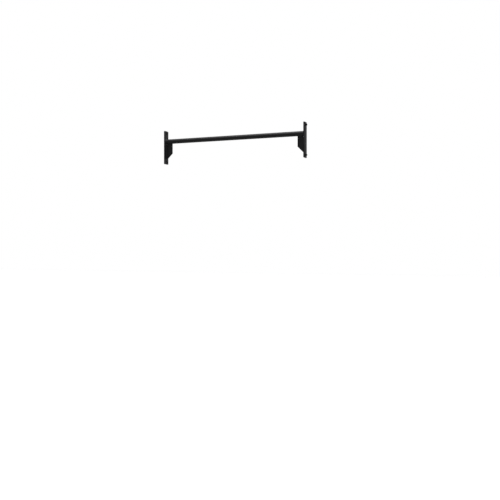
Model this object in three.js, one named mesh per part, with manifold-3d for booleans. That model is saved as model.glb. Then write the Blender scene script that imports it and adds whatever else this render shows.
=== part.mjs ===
// Kip bar: a straight round bar welded between two upright-mounting plates, with a gusset web under each end.
// Millimetres, +X along the bar, +Y to the back, +Z up. The origin is at mid-span, on the centreline of the
// plates, half way between their upper and lower screws.
import * as THREE from "three";
import { mergeVertices } from "three/addons/utils/BufferGeometryUtils.js";
import Module from "manifold-3d";

const wasm = await Module();
wasm.setup();

// ---------------------------------------------------------------------------------------------------------
// Driving dimensions
// ---------------------------------------------------------------------------------------------------------

const INCH = 25.4;
const GAP = 0.3; // clearance left between pieces that touch

const OVERALL_LENGTH = 1065; // outer face to outer face of the plates, a loose fit in a 42 in bay

const PLATE_WIDTH = 2 * INCH; // 2 in by 3/8 in flat bar, within the flat of a 3 in upright's face
const PLATE_HEIGHT = 240;
const PLATE_THICKNESS = (3 / 8) * INCH;
const PLATE_CORNER_RADIUS = 5;

const SCREW_SPACING = 8 * INCH; // four holes of the upright's 2 in pitch
const SCREW_HOLE_DIAMETER = (9 / 16) * INCH;

const BAR_DIAMETER = 33.4; // 1 in pipe size
const BAR_WALL = 3.4;
const BAR_BELOW_PLATE_TOP = 3 * INCH; // from the top edge of the plates down to the bar's axis

const WEB_THICKNESS = INCH / 4;
const WEB_REACH = 47.3; // how far a web stands out from its plate
const WEB_DEPTH = 125; // from the bar's axis down to the web's lower edge
const WEB_CHAMFER = 38; // the 45 degree cut across the web's lower outer corner
const WEB_CORNER_CLIP = 9; // radius cut from the inner top corner, clear of the ring weld

const RING_WELD_LEG = 5;
const WEB_WELD_LEG = 4.5;
const WELD_CROWN = 0.12; // how far a weld's face bulges, as a share of its leg
const WELD_END_INSET = 2; // how far short of the web's free edges its welds stop
const WELD_CLIP_INSET = 1; // how far short of the web's clipped corner they stop

const SCREW_DIAMETER = INCH / 2;
const SCREW_LENGTH = (3 / 4) * INCH; // over the head
const SCREW_TIP_CHAMFER = 1.3;
const SCREW_RECESS = 0.25; // how far the flat head sits below the plate's face
const HEAD_CONE_DIAMETER = 0.938 * INCH; // where the head's cone would meet the plate's face
const HEAD_RIM_DIAMETER = 22.8;
const HEAD_CONE_ANGLE = 82;
const SOCKET_ACROSS_FLATS = (5 / 16) * INCH;
const SOCKET_DEPTH = 4.9;

// How far round each screw stands, as each tightened up where it did
const TURNED_DEGREES = {
  left_upper: 11,
  left_lower: 38,
  right_upper: -21,
  right_lower: 52,
};

const ROUND_SEGMENTS = 48;
const CORNER_SEGMENTS = 12; // steps in each arc of an extruded outline
const WELD_FACE_STEPS = 6;

// Places worked out from the sizes above
const BAR_RADIUS = BAR_DIAMETER / 2;
const BAR_Z = PLATE_HEIGHT / 2 - BAR_BELOW_PLATE_TOP;
const PLATE_OUTER_X = OVERALL_LENGTH / 2;
const PLATE_INNER_X = PLATE_OUTER_X - PLATE_THICKNESS;
const SCREW_Z = SCREW_SPACING / 2;
const HEAD_SLOPE = Math.tan(THREE.MathUtils.degToRad(HEAD_CONE_ANGLE / 2)); // radius lost per mm of depth

// ---------------------------------------------------------------------------------------------------------
// Materials
// ---------------------------------------------------------------------------------------------------------

const powderCoat = new THREE.MeshStandardMaterial({ color: 0x1c1c1e, roughness: 0.5, metalness: 0.0 });
const coatedWeld = new THREE.MeshStandardMaterial({ color: 0x1a1a1c, roughness: 0.55, metalness: 0.0 });
const blackOxide = new THREE.MeshStandardMaterial({ color: 0x222224, roughness: 0.4, metalness: 0.8 });

// ---------------------------------------------------------------------------------------------------------
// Solids
// ---------------------------------------------------------------------------------------------------------

/** A closed geometry as a solid that can be cut and joined. */
function solidFrom(geometry) {
  const bare = geometry.clone();
  bare.deleteAttribute("normal");
  bare.deleteAttribute("uv");
  const merged = mergeVertices(bare, 1e-4);
  return new wasm.Manifold(
    new wasm.Mesh({
      numProp: 3,
      vertProperties: merged.attributes.position.array,
      triVerts: new Uint32Array(merged.index.array),
    }),
  );
}

/** The surface of a solid as a geometry, with flat-shaded faces. */
function geometryFrom(solid) {
  const { vertProperties, triVerts } = solid.getMesh();
  const indexed = new THREE.BufferGeometry()
    .setAttribute("position", new THREE.BufferAttribute(new Float32Array(vertProperties), 3))
    .setIndex(new THREE.BufferAttribute(new Uint32Array(triVerts), 1));
  const geometry = indexed.toNonIndexed();
  geometry.computeVertexNormals();
  return geometry;
}

/** A solid cylinder along X from x0 to x1. */
function cylinderAlongX(radius, x0, x1) {
  return new THREE.CylinderGeometry(radius, radius, x1 - x0, ROUND_SEGMENTS)
    .rotateZ(-Math.PI / 2)
    .translate((x0 + x1) / 2, 0, 0);
}

/** A profile of [x, radius] points turned about the X axis. */
function turnedAboutX(profile) {
  const points = profile.map(([x, radius]) => new THREE.Vector2(radius, x));
  return new THREE.LatheGeometry(points, ROUND_SEGMENTS).rotateZ(-Math.PI / 2);
}

/** An outline in the XY plane, made depth high along Z. */
function extruded(shape, depth) {
  return new THREE.ExtrudeGeometry(shape, { depth, bevelEnabled: false, curveSegments: CORNER_SEGMENTS });
}

/** An outline in the XZ plane, made thickness wide along Y about its centre. */
function slabInXZ(shape, thickness) {
  return extruded(shape, thickness)
    .rotateX(Math.PI / 2)
    .translate(0, thickness / 2, 0);
}

/** An outline in the YZ plane, made into a prism along X from x0 to x1. */
function prismAlongX(shape, x0, x1) {
  return extruded(shape, x1 - x0)
    .rotateX(Math.PI / 2)
    .rotateZ(Math.PI / 2)
    .translate(x0, 0, 0);
}

/** The points of a weld's face from one toe to the other, crowned outwards, away from the weld's root. */
function weldFace(from, to, root, leg) {
  const middle = new THREE.Vector2().addVectors(from, to).multiplyScalar(0.5);
  const outward = new THREE.Vector2().subVectors(middle, root).normalize();
  const crest = middle.clone().addScaledVector(outward, 2 * WELD_CROWN * leg);
  return new THREE.QuadraticBezierCurve(from, crest, to).getPoints(WELD_FACE_STEPS);
}

// ---------------------------------------------------------------------------------------------------------
// Sub-parts of one end. Each is drawn for the left end, in the frame of its plate: x = 0 on the plate's inner
// face, +X towards mid-span, z = 0 at the plate's centre.
// ---------------------------------------------------------------------------------------------------------

/** The flat plate that lies against the upright, with its two countersunk holes. */
function mountingPlate() {
  const halfWidth = PLATE_WIDTH / 2;
  const halfHeight = PLATE_HEIGHT / 2;
  const r = PLATE_CORNER_RADIUS;
  const outline = new THREE.Shape();
  outline.moveTo(halfWidth - r, -halfHeight);
  outline.absarc(halfWidth - r, -halfHeight + r, r, -Math.PI / 2, 0);
  outline.absarc(halfWidth - r, halfHeight - r, r, 0, Math.PI / 2);
  outline.absarc(-halfWidth + r, halfHeight - r, r, Math.PI / 2, Math.PI);
  outline.absarc(-halfWidth + r, -halfHeight + r, r, Math.PI, 1.5 * Math.PI);
  let plate = solidFrom(prismAlongX(outline, -PLATE_THICKNESS, 0));
  for (const z of [-SCREW_Z, SCREW_Z]) {
    plate = plate.subtract(solidFrom(countersunkHole().translate(0, 0, z)));
  }
  return geometryFrom(plate);
}

/** The space of one countersunk hole, from well behind the plate to well in front of it. */
function countersunkHole() {
  const holeRadius = SCREW_HOLE_DIAMETER / 2;
  const faceRadius = HEAD_CONE_DIAMETER / 2 + GAP / Math.cos(Math.atan(HEAD_SLOPE));
  return turnedAboutX([
    [-2 * PLATE_THICKNESS, 0],
    [-2 * PLATE_THICKNESS, holeRadius],
    [-(faceRadius - holeRadius) / HEAD_SLOPE, holeRadius],
    [PLATE_THICKNESS, faceRadius + PLATE_THICKNESS * HEAD_SLOPE],
    [PLATE_THICKNESS, 0],
  ]);
}

/** The web under the bar, coped to the tube along its top edge. */
function gussetWeb() {
  const barUnderside = BAR_Z - BAR_RADIUS;
  const lowerEdge = BAR_Z - WEB_DEPTH;
  const outline = new THREE.Shape();
  outline.moveTo(GAP, lowerEdge);
  outline.lineTo(WEB_REACH - WEB_CHAMFER, lowerEdge);
  outline.lineTo(WEB_REACH, lowerEdge + WEB_CHAMFER);
  outline.lineTo(WEB_REACH, BAR_Z);
  outline.lineTo(WEB_CORNER_CLIP, BAR_Z);
  outline.lineTo(WEB_CORNER_CLIP, barUnderside);
  outline.absarc(0, barUnderside, WEB_CORNER_CLIP, 0, -Math.acos(GAP / WEB_CORNER_CLIP), true);
  const bar = cylinderAlongX(BAR_RADIUS + GAP, -WEB_REACH, 2 * WEB_REACH).translate(0, 0, BAR_Z);
  return geometryFrom(solidFrom(slabInXZ(outline, WEB_THICKNESS)).subtract(solidFrom(bar)));
}

/** The fillet all round the tube, where its end meets the plate. */
function ringWeld() {
  const root = new THREE.Vector2(GAP, BAR_RADIUS + GAP);
  const onPlate = new THREE.Vector2(GAP, BAR_RADIUS + RING_WELD_LEG);
  const onBar = new THREE.Vector2(RING_WELD_LEG, BAR_RADIUS + GAP);
  const face = weldFace(onPlate, onBar, root, RING_WELD_LEG);
  const profile = [root, ...face, root].map((p) => [p.x, p.y]);
  return turnedAboutX(profile).translate(0, 0, BAR_Z);
}

/** The upright fillet between one side of the web and the plate. side is +1 at the back, -1 at the front. */
function webToPlateWeld(side) {
  const top = BAR_Z - BAR_RADIUS - WEB_CORNER_CLIP - WELD_CLIP_INSET;
  const bottom = BAR_Z - WEB_DEPTH + WELD_END_INSET;
  const root = new THREE.Vector2(GAP, WEB_THICKNESS / 2 + GAP);
  const onPlate = new THREE.Vector2(GAP, WEB_THICKNESS / 2 + WEB_WELD_LEG);
  const onWeb = new THREE.Vector2(WEB_WELD_LEG, WEB_THICKNESS / 2 + GAP);
  const shape = new THREE.Shape([root, ...weldFace(onWeb, onPlate, root, WEB_WELD_LEG)]);
  const bead = extruded(shape, top - bottom).translate(0, 0, bottom);
  return side > 0 ? bead : mirrored(bead, new THREE.Vector3(1, -1, 1));
}

/** The level fillet between one side of the web and the underside of the bar. */
function webToBarWeld(side) {
  const clearRadius = BAR_RADIUS + GAP;
  const innerY = WEB_THICKNESS / 2 + GAP;
  const outerY = innerY + WEB_WELD_LEG;
  const outerAngle = -Math.acos(outerY / clearRadius);
  const innerAngle = -Math.acos(innerY / clearRadius);
  const root = new THREE.Vector2(innerY, BAR_Z + clearRadius * Math.sin(innerAngle));
  const onBar = new THREE.Vector2(outerY, BAR_Z + clearRadius * Math.sin(outerAngle));
  const onWeb = new THREE.Vector2(innerY, root.y - WEB_WELD_LEG);
  const shape = new THREE.Shape();
  shape.absarc(0, BAR_Z, clearRadius, outerAngle, innerAngle, true);
  shape.lineTo(onWeb.x, onWeb.y);
  weldFace(onWeb, onBar, root, WEB_WELD_LEG).slice(1, -1).forEach((p) => shape.lineTo(p.x, p.y));
  const bead = prismAlongX(shape, WEB_CORNER_CLIP + WELD_CLIP_INSET, WEB_REACH - WELD_END_INSET);
  return side > 0 ? bead : mirrored(bead, new THREE.Vector3(1, -1, 1));
}

/** A flat-head socket screw, its head sunk into the plate and its shank out through the plate's back. */
function countersunkScrew() {
  const shankRadius = SCREW_DIAMETER / 2;
  const rimRadius = HEAD_RIM_DIAMETER / 2;
  const coneRadius = HEAD_CONE_DIAMETER / 2;
  const tip = -SCREW_RECESS - SCREW_LENGTH;
  const body = turnedAboutX([
    [tip, 0],
    [tip, shankRadius - SCREW_TIP_CHAMFER],
    [tip + SCREW_TIP_CHAMFER, shankRadius],
    [-(coneRadius - shankRadius) / HEAD_SLOPE, shankRadius],
    [-(coneRadius - rimRadius) / HEAD_SLOPE, rimRadius],
    [-SCREW_RECESS, rimRadius],
    [-SCREW_RECESS, 0],
  ]);
  const socketRadius = SOCKET_ACROSS_FLATS / 2 / Math.cos(Math.PI / 6);
  const socket = new THREE.CylinderGeometry(socketRadius, socketRadius, 2 * SOCKET_DEPTH, 6)
    .rotateZ(-Math.PI / 2)
    .translate(-SCREW_RECESS, 0, 0);
  return geometryFrom(solidFrom(body).subtract(solidFrom(socket)));
}

/** A geometry mirrored by a scale with one or three negative factors, its faces turned back to point out. */
function mirrored(geometry, scale) {
  const separate = geometry.index ? geometry.toNonIndexed() : geometry.clone();
  const flipped = separate.scale(scale.x, scale.y, scale.z);
  const position = flipped.getAttribute("position");
  for (let i = 0; i < position.count; i += 3) {
    const [a, b] = [i + 1, i + 2].map((v) => new THREE.Vector3().fromBufferAttribute(position, v));
    position.setXYZ(i + 1, b.x, b.y, b.z);
    position.setXYZ(i + 2, a.x, a.y, a.z);
  }
  flipped.computeVertexNormals();
  return flipped;
}

// ---------------------------------------------------------------------------------------------------------
// Assembly
// ---------------------------------------------------------------------------------------------------------

function named(name, geometry, material) {
  const mesh = new THREE.Mesh(geometry, material);
  mesh.name = name;
  return mesh;
}

/** The hollow bar, from plate to plate. */
function crossbarTube() {
  const half = PLATE_INNER_X - GAP;
  const bore = BAR_RADIUS - BAR_WALL;
  return turnedAboutX([
    [-half, bore],
    [-half, BAR_RADIUS],
    [half, BAR_RADIUS],
    [half, bore],
    [-half, bore],
  ]);
}

/** Everything at one end. The right end is the left one mirrored across mid-span. */
function endAssembly(sideName, isRight) {
  const end = new THREE.Group();
  const fit = (geometry) => (isRight ? mirrored(geometry, new THREE.Vector3(-1, 1, 1)) : geometry);
  const add = (name, geometry, material) => {
    const mesh = named(`${sideName}_${name}`, fit(geometry), material);
    end.add(mesh);
    return mesh;
  };
  add("mounting_plate", mountingPlate(), powderCoat);
  add("gusset_web", gussetWeb(), powderCoat);
  add("bar_ring_weld", ringWeld(), coatedWeld);
  for (const [where, side] of [["front", -1], ["rear", 1]]) {
    add(`web_to_plate_weld_${where}`, webToPlateWeld(side), coatedWeld);
    add(`web_to_bar_weld_${where}`, webToBarWeld(side), coatedWeld);
  }
  for (const [level, z] of [["upper", SCREW_Z], ["lower", -SCREW_Z]]) {
    const screw = add(`${level}_countersunk_screw`, countersunkScrew(), blackOxide);
    screw.position.z = z;
    screw.rotation.x = THREE.MathUtils.degToRad(TURNED_DEGREES[`${sideName}_${level}`]);
  }
  end.position.x = isRight ? PLATE_INNER_X : -PLATE_INNER_X;
  return end;
}

const kipBar = new THREE.Group();
const crossbar = named("crossbar_tube", crossbarTube(), powderCoat);
crossbar.position.z = BAR_Z;
kipBar.add(crossbar, endAssembly("left", false), endAssembly("right", true));

export default kipBar;
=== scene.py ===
import math

import bmesh
import bpy
from mathutils import Matrix, Vector, noise
from mathutils.geometry import delaunay_2d_cdt


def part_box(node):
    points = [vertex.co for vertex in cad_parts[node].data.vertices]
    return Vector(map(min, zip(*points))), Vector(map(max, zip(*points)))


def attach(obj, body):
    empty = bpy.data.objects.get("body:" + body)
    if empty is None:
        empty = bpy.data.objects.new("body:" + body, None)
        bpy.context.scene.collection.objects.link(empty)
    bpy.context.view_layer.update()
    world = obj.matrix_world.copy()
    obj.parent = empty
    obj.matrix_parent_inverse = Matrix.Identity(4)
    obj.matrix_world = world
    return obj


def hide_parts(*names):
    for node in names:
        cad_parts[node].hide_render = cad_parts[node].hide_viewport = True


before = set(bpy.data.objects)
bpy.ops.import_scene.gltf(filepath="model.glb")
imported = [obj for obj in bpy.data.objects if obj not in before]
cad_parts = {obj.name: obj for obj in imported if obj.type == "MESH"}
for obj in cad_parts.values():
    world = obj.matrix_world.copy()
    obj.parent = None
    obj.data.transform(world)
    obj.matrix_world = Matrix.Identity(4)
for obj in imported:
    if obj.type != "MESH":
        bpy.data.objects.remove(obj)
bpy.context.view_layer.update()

# The kip bar: a round bar welded between two plates, each with a gusset web and two countersunk screws.
# Everything at one end is drawn in the frame of its plate: x = 0 on the plate's inner face and +X towards
# mid-span. The sizes that the frame doesn't give are below, in metres.
MM = 0.001

# Steps of the fine meshes
TUBE_SIDES = 160
ROUND_SIDES = 96
CORNER_STEPS = 10
EDGE_STEPS = 5
SUPPORT = 0.5 * MM  # from a rounded edge to the loop that keeps the flat beside it flat
TUBE_STEPS = 64
LONGEST_STEP = 4 * MM  # along a straight edge of a plate or web
ENCLOSED_TRIANGLES = 1  # what delaunay_2d_cdt is asked for
MERGE_WITHIN_MM = 1e-6  # two points of a flat face closer than this are one
SHARP_ANGLE = math.radians(38)  # edges bent further than this are shaded sharp

# Tube, plates and webs
TUBE_WALL = 3.4 * MM
TUBE_END_CHAMFER = 0.8 * MM
PLATE_CORNER_RADIUS = 5 * MM
PLATE_EDGE_ROUND = 0.9 * MM
WEB_CHAMFER = 38 * MM
WEB_CORNER_CLIP = 9 * MM
WEB_CORNER_ROUND = 1.4 * MM
WEB_EDGE_ROUND = 0.7 * MM
CONTACT = 0.03 * MM  # between faces that touch

# Weld beads
BEAD_STEP = 0.26 * MM
BEAD_FACE_STEPS = 14
BEAD_CROWN = 0.12  # share of the leg
RIPPLE_PITCH = 2.3 * MM
RIPPLE_HEIGHT = 0.24 * MM
RIPPLE_BOW = 0.45  # how far a ripple bows along the bead, in ripples
RIPPLE_DRIFT = 0.5  # how far the ripples stray from an even pitch, in ripples
RIPPLE_FULLNESS = 0.6  # the lower, the nearer to the toes a ripple keeps its height
TOE_WANDER = 0.07  # share of the leg
WANDER_LENGTH = 7 * MM
BEAD_END_SCALE = 0.2
TOE_A_SEED, TOE_B_SEED, RIPPLE_SEED = 0.3, 7.1, 3.7  # keep a bead's three drifts apart

# Screws
SCREW_DIAMETER = 12.7 * MM
THREAD_PITCH = 25.4 * MM / 13
THREAD_HEIGHT = 0.613 * THREAD_PITCH
THREAD_STEPS = 14  # rings to a turn
THREAD_RUNOUT = 1.2 * THREAD_PITCH
THREAD_CREST = 0.07  # half the crest's width, as a share of the pitch
THREAD_FLANK = 0.34  # the width of a flank, as a share of the pitch
THREAD_SOFTNESS = 0.4  # how much the flanks curve into the crest and root
TIP_CHAMFER = 1.4 * MM
HEAD_RIM_DIAMETER = 22.8 * MM
HEAD_CONE_DIAMETER = 23.825 * MM
HEAD_SLOPE = math.tan(math.radians(82 / 2))
HOLE_DIAMETER = 14.2875 * MM
COUNTERSINK_CLEARANCE = 0.16 * MM
HOLE_EDGE_ROUND = 0.35 * MM
HEAD_EDGE_ROUND = 0.22 * MM
SOCKET_ACROSS_FLATS = 7.9375 * MM
SOCKET_DEPTH = 4.9 * MM
SOCKET_CORNER_ROUND = 0.985  # share of the hexagon's corner radius that is kept
SOCKET_MOUTH_CHAMFER = 0.5 * MM
SOCKET_MOUTH_STEPS = 6
SOCKET_MOUTH_MARGIN = 0.12 * MM  # from the socket's corners to the rim of its mouth
DRILL_POINT_DEPTH = 1.6 * MM  # below the socket's floor
DRILL_POINT_RADIUS = 0.4 * MM
TURNED_DEGREES = {"left_upper": 11, "left_lower": 38, "right_upper": -21, "right_lower": 52}


# --------------------------------------------------------------------------------------------------------
# Mesh building
# --------------------------------------------------------------------------------------------------------

def join_loops(bm, a, b):
    """A band of quads between two closed loops of vertices."""
    for i in range(len(a)):
        j = (i + 1) % len(a)
        bm.faces.new((a[i], a[j], b[j], b[i]))


def loft(bm, loops):
    """A skin through closed loops of points. Gives back the first and last loops' vertices."""
    rows = [[bm.verts.new(point) for point in loop] for loop in loops]
    for a, b in zip(rows, rows[1:]):
        join_loops(bm, a, b)
    return rows[0], rows[-1]


def fill(bm, *loops):
    """A flat surface in even triangles, inside the first loop of vertices and outside the others, which are
    convex holes."""
    verts = [vert for loop in loops for vert in loop]
    extents = [max(vert.co[k] for vert in verts) - min(vert.co[k] for vert in verts) for k in range(3)]
    across, up = sorted(range(3), key=lambda k: -extents[k])[:2]
    points = [Vector((vert.co[across], vert.co[up])) / MM for vert in verts]
    edges = []
    for loop in loops:
        first = len(edges)
        edges += [(first + i, first + (i + 1) % len(loop)) for i in range(len(loop))]
    result = delaunay_2d_cdt(points, edges, [], ENCLOSED_TRIANGLES, MERGE_WITHIN_MM)
    triangles, sources = result[2], result[3]
    for triangle in triangles:
        corners = [verts[sources[i][0]] for i in triangle]
        if not any(all(vert in hole for vert in corners) for hole in loops[1:]):
            bm.faces.new(corners)


def circle(x, radius, centre=(0, 0), sides=ROUND_SIDES):
    """A loop about an axis along X."""
    angles = [2 * math.pi * i / sides for i in range(sides)]
    return [Vector((x, centre[0] + radius * math.cos(a), centre[1] + radius * math.sin(a))) for a in angles]


def arc(centre, radius, start, end, steps=CORNER_STEPS):
    """2D points on an arc between two directions in degrees."""
    angles = [math.radians(start + (end - start) * i / steps) for i in range(steps + 1)]
    return [Vector((centre[0] + radius * math.cos(a), centre[1] + radius * math.sin(a))) for a in angles]


def rounded_corners(corners, radius):
    """A 2D outline whose corners are replaced by arcs that touch both of their edges."""
    outline = []
    for i, corner in enumerate(corners):
        before = (corners[i - 1] - corner).normalized()
        after = (corners[(i + 1) % len(corners)] - corner).normalized()
        half = before.angle(after) / 2
        reach = radius / math.tan(half)
        centre = corner + (before + after).normalized() * (radius / math.sin(half))
        start = corner + before * reach - centre
        end = corner + after * reach - centre
        sweep = start.angle_signed(end)
        for k in range(CORNER_STEPS + 1):
            outline.append(centre + Matrix.Rotation(-sweep * k / CORNER_STEPS, 2) @ start)
    return outline


def divided(outline):
    """The 2D outline with points added along its long edges."""
    points = []
    for start, end in zip(outline, outline[1:] + outline[:1]):
        parts = math.ceil((end - start).length / LONGEST_STEP)
        points += [start.lerp(end, k / parts) for k in range(parts)]
    return points


def inset(outline, distance):
    """The 2D outline, drawn anticlockwise, moved inwards."""
    moved = []
    for i, point in enumerate(outline):
        along_before = (point - outline[i - 1]).normalized()
        along_after = (outline[(i + 1) % len(outline)] - point).normalized()
        inward_before = Vector((-along_before.y, along_before.x))
        inward_after = Vector((-along_after.y, along_after.x))
        mitre = (inward_before + inward_after).normalized()
        moved.append(point + mitre * (distance / mitre.dot(inward_before)))
    return moved


def edge_levels(thickness, edge_round):
    """Depth and inset of each loop down the side of a slab with rounded edges."""
    angles = [math.pi / 2 * k / EDGE_STEPS for k in range(EDGE_STEPS + 1)]
    rounding = [(edge_round * (1 - math.cos(a)), edge_round * (1 - math.sin(a))) for a in angles]
    near = [(0, edge_round + SUPPORT)] + rounding + [(edge_round + SUPPORT, 0)]
    return near + [(thickness - depth, moved) for depth, moved in reversed(near)]


# --------------------------------------------------------------------------------------------------------
# Sizes that the frame gives
# --------------------------------------------------------------------------------------------------------

class End:
    """One end of the bar, in the frame of its plate."""

    def __init__(self, side):
        self.side = side
        self.is_right = side == "right"
        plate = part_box(f"{side}_mounting_plate")
        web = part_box(f"{side}_gusset_web")
        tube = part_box("crossbar_tube")
        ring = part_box(f"{side}_bar_ring_weld")
        beside_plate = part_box(f"{side}_web_to_plate_weld_rear")
        under_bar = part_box(f"{side}_web_to_bar_weld_rear")
        self.face_x = plate[0].x if self.is_right else plate[1].x
        self.plate_size = plate[1] - plate[0]
        self.bar_radius = (tube[1].z - tube[0].z) / 2
        self.bar_z = (tube[1].z + tube[0].z) / 2
        self.web_thickness = web[1].y - web[0].y
        self.web_reach = max(self.inwards(web[0].x), self.inwards(web[1].x))
        self.web_bottom = web[0].z
        self.ring_leg = (ring[1].z - ring[0].z) / 2 - self.bar_radius
        self.web_leg = beside_plate[1].y - self.web_thickness / 2
        self.upright_bead = (beside_plate[0].z, beside_plate[1].z)
        self.level_bead = sorted((self.inwards(under_bar[0].x), self.inwards(under_bar[1].x)))

    def inwards(self, x):
        """Distance from the plate's inner face towards mid-span."""
        return (self.face_x - x) if self.is_right else (x - self.face_x)


# --------------------------------------------------------------------------------------------------------
# Pieces of one end
# --------------------------------------------------------------------------------------------------------

def mounting_plate(end):
    """Flat bar with rounded corners, softened edges and two countersunk holes."""
    bm = bmesh.new()
    thickness, width, height = end.plate_size
    corners = [Vector((y * width / 2, z * height / 2)) for y, z in ((1, -1), (1, 1), (-1, 1), (-1, -1))]
    outline = divided(rounded_corners(corners, PLATE_CORNER_RADIUS))
    side_loops = [
        [Vector((-depth, p.x, p.y)) for p in inset(outline, moved)]
        for depth, moved in edge_levels(thickness, PLATE_EDGE_ROUND)
    ]
    sides = loft(bm, side_loops)
    holes = [hole(bm, end, level) for level in ("upper", "lower")]
    front_loops, back_loops = zip(sides, *holes)
    fill(bm, *front_loops)
    fill(bm, *back_loops)
    return bm


def hole(bm, end, level):
    """The wall of one countersunk hole, from the plate's inner face to its outer one."""
    thickness = end.plate_size.x
    hole_radius = HOLE_DIAMETER / 2
    mouth = HEAD_CONE_DIAMETER / 2 + COUNTERSINK_CLEARANCE
    soft = HOLE_EDGE_ROUND
    profile = [
        (0, mouth + soft + SUPPORT),
        (0, mouth + soft),
        (0.1 * soft, mouth + 0.5 * soft),
        (0.35 * soft, mouth + 0.1 * soft),
        (soft, mouth - soft * HEAD_SLOPE),
        ((mouth - hole_radius) / HEAD_SLOPE, hole_radius),
        (thickness - soft, hole_radius),
        (thickness - 0.3 * soft, hole_radius + 0.3 * soft),
        (thickness, hole_radius + soft),
        (thickness, hole_radius + soft + SUPPORT),
    ]
    centre = (0, screw_z(end, level))
    return loft(bm, [circle(-depth, radius, centre) for depth, radius in profile])


def screw_z(end, level):
    low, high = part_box(f"{end.side}_{level}_countersunk_screw")
    return (low.z + high.z) / 2


def gusset_web(end):
    """A flat web with a 45 degree lower corner and a quarter circle out of its inner top corner."""
    bm = bmesh.new()
    top = end.bar_z - end.bar_radius
    lower_right = Vector((end.web_reach - WEB_CHAMFER, end.web_bottom))
    outer_low = Vector((end.web_reach, end.web_bottom + WEB_CHAMFER))
    outer_top = Vector((end.web_reach, top))
    clip_out = Vector((WEB_CORNER_CLIP, top))
    clip_in = Vector((CONTACT, top - WEB_CORNER_CLIP))
    foot = Vector((CONTACT, end.web_bottom))
    rounded = rounded_corners([clip_in, foot, lower_right, outer_low, outer_top, clip_out], WEB_CORNER_ROUND)
    per_corner = CORNER_STEPS + 1
    clip = arc((0, top), WEB_CORNER_CLIP, 0, -90, 2 * CORNER_STEPS)[2:-2]
    outline = divided(rounded[per_corner:-per_corner] + [clip_out] + clip + [clip_in])

    def place(point, depth):
        y = depth - end.web_thickness / 2
        z = point.y
        if z > top - WEB_EDGE_ROUND - CONTACT:
            z = end.bar_z - math.sqrt(end.bar_radius**2 - y**2) - CONTACT
        return Vector((point.x, y, z))

    levels = edge_levels(end.web_thickness, WEB_EDGE_ROUND)
    first, last = loft(bm, [[place(p, depth) for p in inset(outline, moved)] for depth, moved in levels])
    fill(bm, first)
    fill(bm, last)
    return bm


# --------------------------------------------------------------------------------------------------------
# Weld beads. A bead's section is drawn about its root at (0, 0), from one toe across its face to the other.
# --------------------------------------------------------------------------------------------------------

def bead(length, place, toe_a, toe_b, back, seed, closed=False):
    """A rippled bead. place(s, p) puts the section's point p at the distance s along the joint. back runs
    over the hidden sides, from toe_b to the root."""
    bm = bmesh.new()
    ripples = round(length / RIPPLE_PITCH)
    count = round(length / BEAD_STEP)
    loops = []
    for i in range(count):
        s = length * i / (count if closed else count - 1)
        swell = 1 if closed else end_swell(s, length, toe_a.length)
        section = bead_section(s / length, ripples, toe_a, toe_b, back, seed, length, closed)
        loops.append([place(s, swell * p) for p in section])
    rows = loft(bm, loops)
    if closed:
        join_loops(bm, rows[1], rows[0])
    else:
        fill(bm, rows[0])
        fill(bm, rows[1])
    return bm


def end_swell(s, length, leg):
    """A bead starts and stops round: its size near an end, as a share of its full size."""
    near = min(s, length - s, leg) / leg
    return max(BEAD_END_SCALE, math.sqrt(1 - (1 - near) ** 2))


def wander(share, seed, length, closed):
    """A slow random drift along a bead, from -1 to 1, that meets itself round a closed one."""
    if closed:
        turn = 2 * math.pi * share
        reach = length / WANDER_LENGTH / (2 * math.pi)
        return noise.noise(Vector((reach * math.cos(turn), reach * math.sin(turn), seed)))
    return noise.noise(Vector((share * length / WANDER_LENGTH, seed, 0)))


def bead_section(share, ripples, toe_a, toe_b, back, seed, length, closed):
    a = toe_a * (1 + TOE_WANDER * wander(share, seed + TOE_A_SEED, length, closed))
    b = toe_b * (1 + TOE_WANDER * wander(share, seed + TOE_B_SEED, length, closed))
    outward = (a + b).normalized()
    crest = (a + b) / 2 + outward * (2 * BEAD_CROWN * toe_a.length)
    drift = RIPPLE_DRIFT * wander(share, seed + RIPPLE_SEED, length, closed)
    face = []
    for k in range(BEAD_FACE_STEPS + 1):
        v = k / BEAD_FACE_STEPS
        across = math.sin(math.pi * v)
        phase = (share * ripples + drift + RIPPLE_BOW * across) % 1
        ripple = RIPPLE_HEIGHT * across**RIPPLE_FULLNESS * (1 - (2 * phase - 1) ** 2)
        smooth = (1 - v) ** 2 * a + 2 * v * (1 - v) * crest + v**2 * b
        face.append(smooth + outward * ripple)
    return face + list(back)


def bar_ring_weld(end, seed):
    """The fillet all round the tube, against the plate."""
    radius = end.bar_radius
    length = 2 * math.pi * radius

    def place(s, p):
        turn = s / radius
        r = radius + CONTACT + p.y
        return Vector((CONTACT + p.x, r * math.cos(turn), end.bar_z + r * math.sin(turn)))

    leg = end.ring_leg
    return bead(length, place, Vector((leg, 0)), Vector((0, leg)), [Vector((0, 0))], seed, closed=True)


def web_to_plate_weld(end, front_or_rear, seed):
    """The upright fillet between the web and the plate."""
    sign = 1 if front_or_rear == "rear" else -1
    bottom, top = end.upright_bead

    def place(s, p):
        return Vector((CONTACT + p.x, sign * (end.web_thickness / 2 + CONTACT + p.y), bottom + s))

    leg = end.web_leg
    return bead(top - bottom, place, Vector((leg, 0)), Vector((0, leg)), [Vector((0, 0))], seed)


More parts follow.
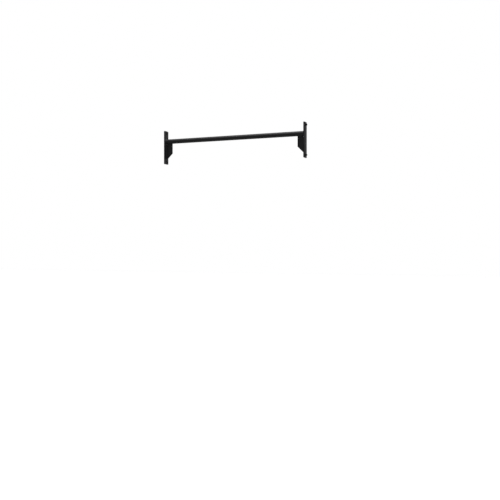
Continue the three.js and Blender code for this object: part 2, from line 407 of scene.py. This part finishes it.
def web_to_bar_weld(end, front_or_rear, seed):
    """The level fillet between the web and the underside of the tube."""
    sign = 1 if front_or_rear == "rear" else -1
    start, stop = end.level_bead
    radius = end.bar_radius + CONTACT
    root_y = end.web_thickness / 2 + CONTACT
    leg = end.web_leg

    def under_bar(out):
        """A point on the tube's underside, out from the web, about the bead's root."""
        drop = math.sqrt(radius**2 - root_y**2) - math.sqrt(radius**2 - (root_y + out) ** 2)
        return Vector((out, drop))

    root_z = end.bar_z - math.sqrt(radius**2 - root_y**2)

    def place(s, p):
        return Vector((start + s, sign * (root_y + p.x), root_z + p.y))

    back = [under_bar(leg * share) for share in (0.75, 0.5, 0.25, 0)]
    return bead(stop - start, place, Vector((0, -leg)), under_bar(leg), back, seed)


# --------------------------------------------------------------------------------------------------------
# Screws
# --------------------------------------------------------------------------------------------------------

def hexagon_radius(angle):
    """The socket's radius in a direction, with its corners slightly rounded off."""
    apothem = SOCKET_ACROSS_FLATS / 2
    sector = math.pi / 3
    from_flat = (angle % sector) - sector / 2
    return min(apothem / math.cos(from_flat), SOCKET_CORNER_ROUND * apothem / math.cos(sector / 2))


def hexagon(x, grown=0.0, least=0.0):
    """The socket's outline at x, grown outwards, and no nearer to the axis than least."""
    loop = []
    for i in range(ROUND_SIDES):
        angle = 2 * math.pi * i / ROUND_SIDES
        radius = max(hexagon_radius(angle) + grown, least)
        loop.append(Vector((x, radius * math.cos(angle), radius * math.sin(angle))))
    return loop


def thread_radius(x, angle, tip, neck):
    """The shank's radius on a right-handed thread that runs out at the neck and is chamfered at the tip."""
    major = SCREW_DIAMETER / 2
    turn = (x / THREAD_PITCH - angle / (2 * math.pi)) % 1
    from_crest = min(turn, 1 - turn)
    flat = min(max((from_crest - THREAD_CREST) / THREAD_FLANK, 0), 1)
    depth = flat * flat * (3 - 2 * flat) * THREAD_SOFTNESS + flat * (1 - THREAD_SOFTNESS)
    fade = min(max((neck - x) / THREAD_RUNOUT, 0), 1)
    radius = major - THREAD_HEIGHT * depth * fade
    return min(radius, major - TIP_CHAMFER + (x - tip))


def countersunk_screw(end, level):
    """A flat-head socket screw with a real helical thread, drawn along X with its head towards +X."""
    bm = bmesh.new()
    low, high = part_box(f"{end.side}_{level}_countersunk_screw")
    top = max(end.inwards(low.x), end.inwards(high.x))
    tip = min(end.inwards(low.x), end.inwards(high.x))
    rim = HEAD_RIM_DIAMETER / 2
    cone = HEAD_CONE_DIAMETER / 2
    neck = -(cone - SCREW_DIAMETER / 2) / HEAD_SLOPE
    apothem = SOCKET_ACROSS_FLATS / 2
    mouth = SOCKET_CORNER_ROUND * SOCKET_ACROSS_FLATS / math.sqrt(3) + SOCKET_MOUTH_MARGIN
    floor = top - SOCKET_DEPTH
    ease = HEAD_EDGE_ROUND
    shares = [k / SOCKET_MOUTH_STEPS for k in range(SOCKET_MOUTH_STEPS + 1)]
    head = [
        circle(floor - DRILL_POINT_DEPTH, DRILL_POINT_RADIUS),
        hexagon(floor, -0.7 * MM),
        hexagon(floor + 0.2 * MM, -0.1 * MM),
        hexagon(floor + 0.5 * MM),
        *[hexagon(top - SOCKET_MOUTH_CHAMFER * (1 - k), least=apothem + (mouth - apothem) * k)
          for k in shares],
        circle(top, mouth + SUPPORT),
        circle(top, rim - 2 * ease - SUPPORT),
        circle(top, rim - 2 * ease),
        circle(top - 0.3 * ease, rim - 0.6 * ease),
        circle(top - ease, rim),
        circle(-(cone - rim) / HEAD_SLOPE, rim),
        circle(neck, SCREW_DIAMETER / 2),
    ]
    rings = round((neck - tip) / THREAD_PITCH * THREAD_STEPS)
    shank = []
    for i in range(1, rings + 1):
        x = neck + (tip - neck) * i / rings
        angles = [2 * math.pi * k / ROUND_SIDES for k in range(ROUND_SIDES)]
        radii = [thread_radius(x, angle, tip, neck) for angle in angles]
        shank.append([Vector((x, r * math.cos(a), r * math.sin(a))) for a, r in zip(angles, radii)])
    first, last = loft(bm, head + shank)
    fill(bm, first)
    fill(bm, last)
    bm.transform(Matrix.Rotation(math.radians(TURNED_DEGREES[f"{end.side}_{level}"]), 4, "X"))
    return bm


def crossbar_tube():
    """The hollow bar, its ends lightly chamfered inside the ring welds."""
    bm = bmesh.new()
    low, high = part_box("crossbar_tube")
    radius = (high.z - low.z) / 2
    axis = (0, (high.z + low.z) / 2)
    bore = radius - TUBE_WALL
    chamfer = TUBE_END_CHAMFER
    near, far = low.x + chamfer + SUPPORT, high.x - chamfer - SUPPORT
    profile = [
        (low.x, bore),
        (low.x, radius - chamfer),
        (low.x + chamfer, radius),
        *[(near + (far - near) * i / TUBE_STEPS, radius) for i in range(TUBE_STEPS + 1)],
        (high.x - chamfer, radius),
        (high.x, radius - chamfer),
        (high.x, bore),
    ]
    first, last = loft(bm, [circle(x, r, axis, TUBE_SIDES) for x, r in profile])
    join_loops(bm, last, first)
    return bm


# --------------------------------------------------------------------------------------------------------
# Materials
# --------------------------------------------------------------------------------------------------------

def add_node(tree, kind, inputs=None, **settings):
    """A shader node with its settings, and its inputs set to values or linked to other nodes' outputs."""
    node = tree.nodes.new(kind)
    for key, value in settings.items():
        setattr(node, key, value)
    for name, value in (inputs or {}).items():
        if isinstance(value, bpy.types.NodeSocket):
            tree.links.new(value, node.inputs[name])
        else:
            node.inputs[name].default_value = value
    return node


def new_material(name):
    material = bpy.data.materials.new(name)
    material.use_nodes = True
    tree = material.node_tree
    tree.nodes.clear()
    output = add_node(tree, "ShaderNodeOutputMaterial")
    place = add_node(tree, "ShaderNodeTexCoord").outputs["Object"]
    return material, tree, output, place


def noise_value(tree, place, size, detail=2.0, roughness=0.5):
    """A noise from 0 to 1 whose features are about size metres across."""
    inputs = {"Vector": place, "Scale": 1 / size, "Detail": detail, "Roughness": roughness}
    return add_node(tree, "ShaderNodeTexNoise", inputs).outputs["Fac"]


def remap(tree, value, low, high, to_low, to_high):
    inputs = {"Value": value, "From Min": low, "From Max": high, "To Min": to_low, "To Max": to_high}
    return add_node(tree, "ShaderNodeMapRange", inputs).outputs["Result"]


def mix_colour(tree, share, a, b):
    node = add_node(tree, "ShaderNodeMix", data_type="RGBA")
    tree.links.new(share, node.inputs["Factor"])
    for socket, value in ((node.inputs[6], a), (node.inputs[7], b)):
        if isinstance(value, bpy.types.NodeSocket):
            tree.links.new(value, socket)
        else:
            socket.default_value = (*value, 1)
    return node.outputs[2]


def bump(tree, height, distance, strength, normal=None):
    inputs = {"Height": height, "Distance": distance, "Strength": strength}
    if normal:
        inputs["Normal"] = normal
    return add_node(tree, "ShaderNodeBump", inputs).outputs["Normal"]


COAT_FLOW_SIZE = 60 * MM
COAT_PEEL_SIZE = 1.5 * MM
COAT_GRAIN_SIZE = 0.28 * MM
COAT_GRAIN_DEPTH = 0.02 * MM
STEEL_PATCH_SIZE = 9 * MM
STEEL_GRAIN_SIZE = 0.5 * MM
STEEL_GRAIN_DEPTH = 0.02 * MM
TURNING_MARK_SIZE = 2.2 * MM
TURNING_MARK_DEPTH = 0.012 * MM

COAT_BLACK = (0.0145, 0.0145, 0.0155)
COAT_BLACK_THIN = (0.026, 0.026, 0.027)
WELD_BLACK = (0.0135, 0.0135, 0.0145)
WELD_BLACK_THIN = (0.022, 0.022, 0.023)
STEEL_BLUE_BLACK = (0.028, 0.028, 0.031)
STEEL_BROWN_BLACK = (0.045, 0.041, 0.038)
STEEL_WORN = (0.16, 0.155, 0.15)


def powder_coat(name, colour, thin_colour, roughness, peel_depth):
    """Satin powder coat: a fine orange peel, a slow change of gloss, and a thinner film on the edges."""
    material, tree, output, place = new_material(name)
    flow = noise_value(tree, place, COAT_FLOW_SIZE, detail=3)
    peel = noise_value(tree, place, COAT_PEEL_SIZE, detail=1.5)
    grain = noise_value(tree, place, COAT_GRAIN_SIZE, detail=2)
    edge = add_node(tree, "ShaderNodeNewGeometry").outputs["Pointiness"]
    thin = remap(tree, edge, 0.515, 0.6, 0.0, 0.75)
    base = mix_colour(tree, remap(tree, flow, 0.3, 0.7, 0, 1), colour, [1.25 * c for c in colour])
    gloss = remap(tree, flow, 0.25, 0.75, roughness - 0.06, roughness + 0.07)
    speckle = remap(tree, grain, 0.3, 0.7, -0.03, 0.03)
    rough = add_node(tree, "ShaderNodeMath", {0: gloss, 1: speckle}, operation="ADD").outputs[0]
    surface = bump(tree, grain, COAT_GRAIN_DEPTH, 0.25, bump(tree, peel, peel_depth, 0.6))
    shader = add_node(tree, "ShaderNodeBsdfPrincipled", {
        "Base Color": mix_colour(tree, thin, base, thin_colour),
        "Roughness": rough,
        "IOR": 1.5,
        "Normal": surface,
    })
    tree.links.new(shader.outputs["BSDF"], output.inputs["Surface"])
    return material


def black_oxide(name):
    """Oiled black oxide on steel: turning marks round the axis, patches of tint, and edges worn bright."""
    material, tree, output, place = new_material(name)
    patches = noise_value(tree, place, STEEL_PATCH_SIZE, detail=4)
    grain = noise_value(tree, place, STEEL_GRAIN_SIZE, detail=3)
    rings = add_node(tree, "ShaderNodeTexWave", {
        "Vector": place,
        "Scale": 1 / TURNING_MARK_SIZE,
        "Distortion": 0.6,
        "Detail": 1,
    }, wave_type="RINGS", rings_direction="X").outputs["Fac"]
    edge = add_node(tree, "ShaderNodeNewGeometry").outputs["Pointiness"]
    worn = remap(tree, edge, 0.54, 0.64, 0.0, 0.6)
    tint = mix_colour(tree, remap(tree, patches, 0.35, 0.65, 0, 1), STEEL_BLUE_BLACK, STEEL_BROWN_BLACK)
    shader = add_node(tree, "ShaderNodeBsdfPrincipled", {
        "Base Color": mix_colour(tree, worn, tint, STEEL_WORN),
        "Metallic": 0.85,
        "Roughness": remap(tree, grain, 0.3, 0.7, 0.27, 0.42),
        "Normal": bump(tree, rings, TURNING_MARK_DEPTH, 0.35, bump(tree, grain, STEEL_GRAIN_DEPTH, 0.3)),
    })
    tree.links.new(shader.outputs["BSDF"], output.inputs["Surface"])
    return material


def floor_paint():
    """Plain matt white, very slightly uneven."""
    material, tree, output, place = new_material("studio_floor")
    patches = noise_value(tree, place, 1.5, detail=2)
    colour = mix_colour(tree, patches, (0.93, 0.93, 0.93), (0.96, 0.96, 0.96))
    shader = add_node(tree, "ShaderNodeBsdfPrincipled", {"Base Color": colour, "Roughness": 0.9})
    tree.links.new(shader.outputs["BSDF"], output.inputs["Surface"])
    return material


# --------------------------------------------------------------------------------------------------------
# Assembly
# --------------------------------------------------------------------------------------------------------

finishes = {
    "powder_coat": powder_coat("powder_coat", COAT_BLACK, COAT_BLACK_THIN, 0.42, 0.13 * MM),
    "coated_weld": powder_coat("coated_weld", WELD_BLACK, WELD_BLACK_THIN, 0.38, 0.06 * MM),
    "black_hardware": black_oxide("black_oxide"),
}


def add_piece(node, bm, slot, location=(0, 0, 0), turn_round=False, mirror=False):
    """Puts one finished piece in place of its CAD node."""
    if mirror:
        bm.transform(Matrix.Scale(-1, 4, (1, 0, 0)))
    if turn_round:
        bm.transform(Matrix.Rotation(math.pi, 4, "Z"))
    bmesh.ops.recalc_face_normals(bm, faces=bm.faces)
    mesh = bpy.data.meshes.new(node + "_detail")
    bm.to_mesh(mesh)
    bm.free()
    mesh.shade_smooth()
    mesh.set_sharp_from_angle(angle=SHARP_ANGLE)
    mesh.materials.append(finishes[slot])
    piece = bpy.data.objects.new(node + "_detail", mesh)
    piece.location = location
    bpy.context.scene.collection.objects.link(piece)
    normals = piece.modifiers.new("even_normals", "WEIGHTED_NORMAL")
    normals.keep_sharp = True
    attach(piece, "root")
    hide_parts(node)


def add_end(side, first_seed):
    end = End(side)
    place = {"location": (end.face_x, 0, 0), "mirror": end.is_right}
    add_piece(f"{side}_mounting_plate", mounting_plate(end), "powder_coat", **place)
    add_piece(f"{side}_gusset_web", gusset_web(end), "powder_coat", **place)
    add_piece(f"{side}_bar_ring_weld", bar_ring_weld(end, first_seed), "coated_weld", **place)
    for i, where in enumerate(("front", "rear")):
        upright = web_to_plate_weld(end, where, first_seed + 11 + i)
        level = web_to_bar_weld(end, where, first_seed + 21 + i)
        add_piece(f"{side}_web_to_plate_weld_{where}", upright, "coated_weld", **place)
        add_piece(f"{side}_web_to_bar_weld_{where}", level, "coated_weld", **place)
    for level in ("upper", "lower"):
        centre = (end.face_x, 0, screw_z(end, level))
        node = f"{side}_{level}_countersunk_screw"
        add_piece(node, countersunk_screw(end, level), "black_hardware", centre, turn_round=end.is_right)


add_piece("crossbar_tube", crossbar_tube(), "powder_coat")
add_end("left", 100)
add_end("right", 200)


# --------------------------------------------------------------------------------------------------------
# Stage, light and camera
# --------------------------------------------------------------------------------------------------------

FLOOR_BELOW_CENTRE = 2.13  # the bar hangs at its working height above the floor
FLOOR_SIZE = 60
AZIMUTH = math.radians(21.71)
TILT_DOWN = math.radians(0.2)
CAMERA_PLACE = Vector((1.9625, -4.6051, -0.7251))
FOCAL_LENGTH = 51.4
OVERHEAD_LIGHT = 0.7
FRONT_LIGHT = 0.13
BACK_LIGHT = 0.26
UNDER_LIGHT = 0.2
SUN_STRENGTH = 2.2
SUN_ANGLE = math.radians(50)
SUN_TURN = (math.radians(-14), math.radians(8), 0)
SOFTBOX_PLACE = (0.2, -0.4, 1.9)
SOFTBOX_SIZE = (2.6, 0.8)
SOFTBOX_POWER = 17


def add_floor():
    bm = bmesh.new()
    bmesh.ops.create_grid(bm, x_segments=4, y_segments=4, size=FLOOR_SIZE / 2)
    mesh = bpy.data.meshes.new("studio_floor")
    bm.to_mesh(mesh)
    bm.free()
    mesh.materials.append(floor_paint())
    floor = bpy.data.objects.new("studio_floor", mesh)
    floor.location.z = -FLOOR_BELOW_CENTRE
    floor.visible_diffuse = False
    floor.visible_glossy = False
    bpy.context.scene.collection.objects.link(floor)


def add_world():
    """A white studio: pure white as a backdrop. As a light it is bright overhead, dim at the front, less so
    at the back, and soft from below."""
    world = bpy.data.worlds.new("studio")
    world.use_nodes = True
    tree = world.node_tree
    tree.nodes.clear()
    direction = add_node(tree, "ShaderNodeTexCoord").outputs["Generated"]
    parts = add_node(tree, "ShaderNodeSeparateXYZ", {"Vector": direction}).outputs
    light = remap(tree, parts["Y"], -1, 1, FRONT_LIGHT, BACK_LIGHT)
    for extra in (
        remap(tree, parts["Z"], 0.25, 0.95, 0, OVERHEAD_LIGHT),
        remap(tree, parts["Z"], -0.35, -0.95, 0, UNDER_LIGHT),
    ):
        light = add_node(tree, "ShaderNodeMath", {0: light, 1: extra}, operation="ADD").outputs[0]
    seen = add_node(tree, "ShaderNodeLightPath").outputs["Is Camera Ray"]
    strength = remap(tree, seen, 0, 1, light, 1.0)
    background = add_node(tree, "ShaderNodeBackground", {"Color": (1, 1, 1, 1), "Strength": strength})
    output = add_node(tree, "ShaderNodeOutputWorld")
    tree.links.new(background.outputs["Background"], output.inputs["Surface"])
    bpy.context.scene.world = world


def add_softbox():
    light = bpy.data.lights.new("overhead_softbox", "AREA")
    light.shape = "RECTANGLE"
    light.size, light.size_y = SOFTBOX_SIZE
    light.energy = SOFTBOX_POWER
    lamp = bpy.data.objects.new("overhead_softbox", light)
    lamp.location = SOFTBOX_PLACE
    lamp.rotation_euler = (-Vector(SOFTBOX_PLACE)).to_track_quat("-Z", "Y").to_euler()
    bpy.context.scene.collection.objects.link(lamp)


def add_sun():
    light = bpy.data.lights.new("ceiling_bank", "SUN")
    light.energy = SUN_STRENGTH
    light.angle = SUN_ANGLE
    lamp = bpy.data.objects.new("ceiling_bank", light)
    lamp.visible_glossy = False
    lamp.rotation_euler = SUN_TURN
    bpy.context.scene.collection.objects.link(lamp)


def add_camera():
    data = bpy.data.cameras.new("camera")
    data.lens = FOCAL_LENGTH
    camera = bpy.data.objects.new("camera", data)
    camera.location = CAMERA_PLACE
    camera.rotation_euler = (math.pi / 2 - TILT_DOWN, 0, AZIMUTH)
    bpy.context.scene.collection.objects.link(camera)
    bpy.context.scene.camera = camera


add_floor()
add_world()
add_sun()
add_softbox()
add_camera()
bpy.context.scene.view_settings.view_transform = "Standard"
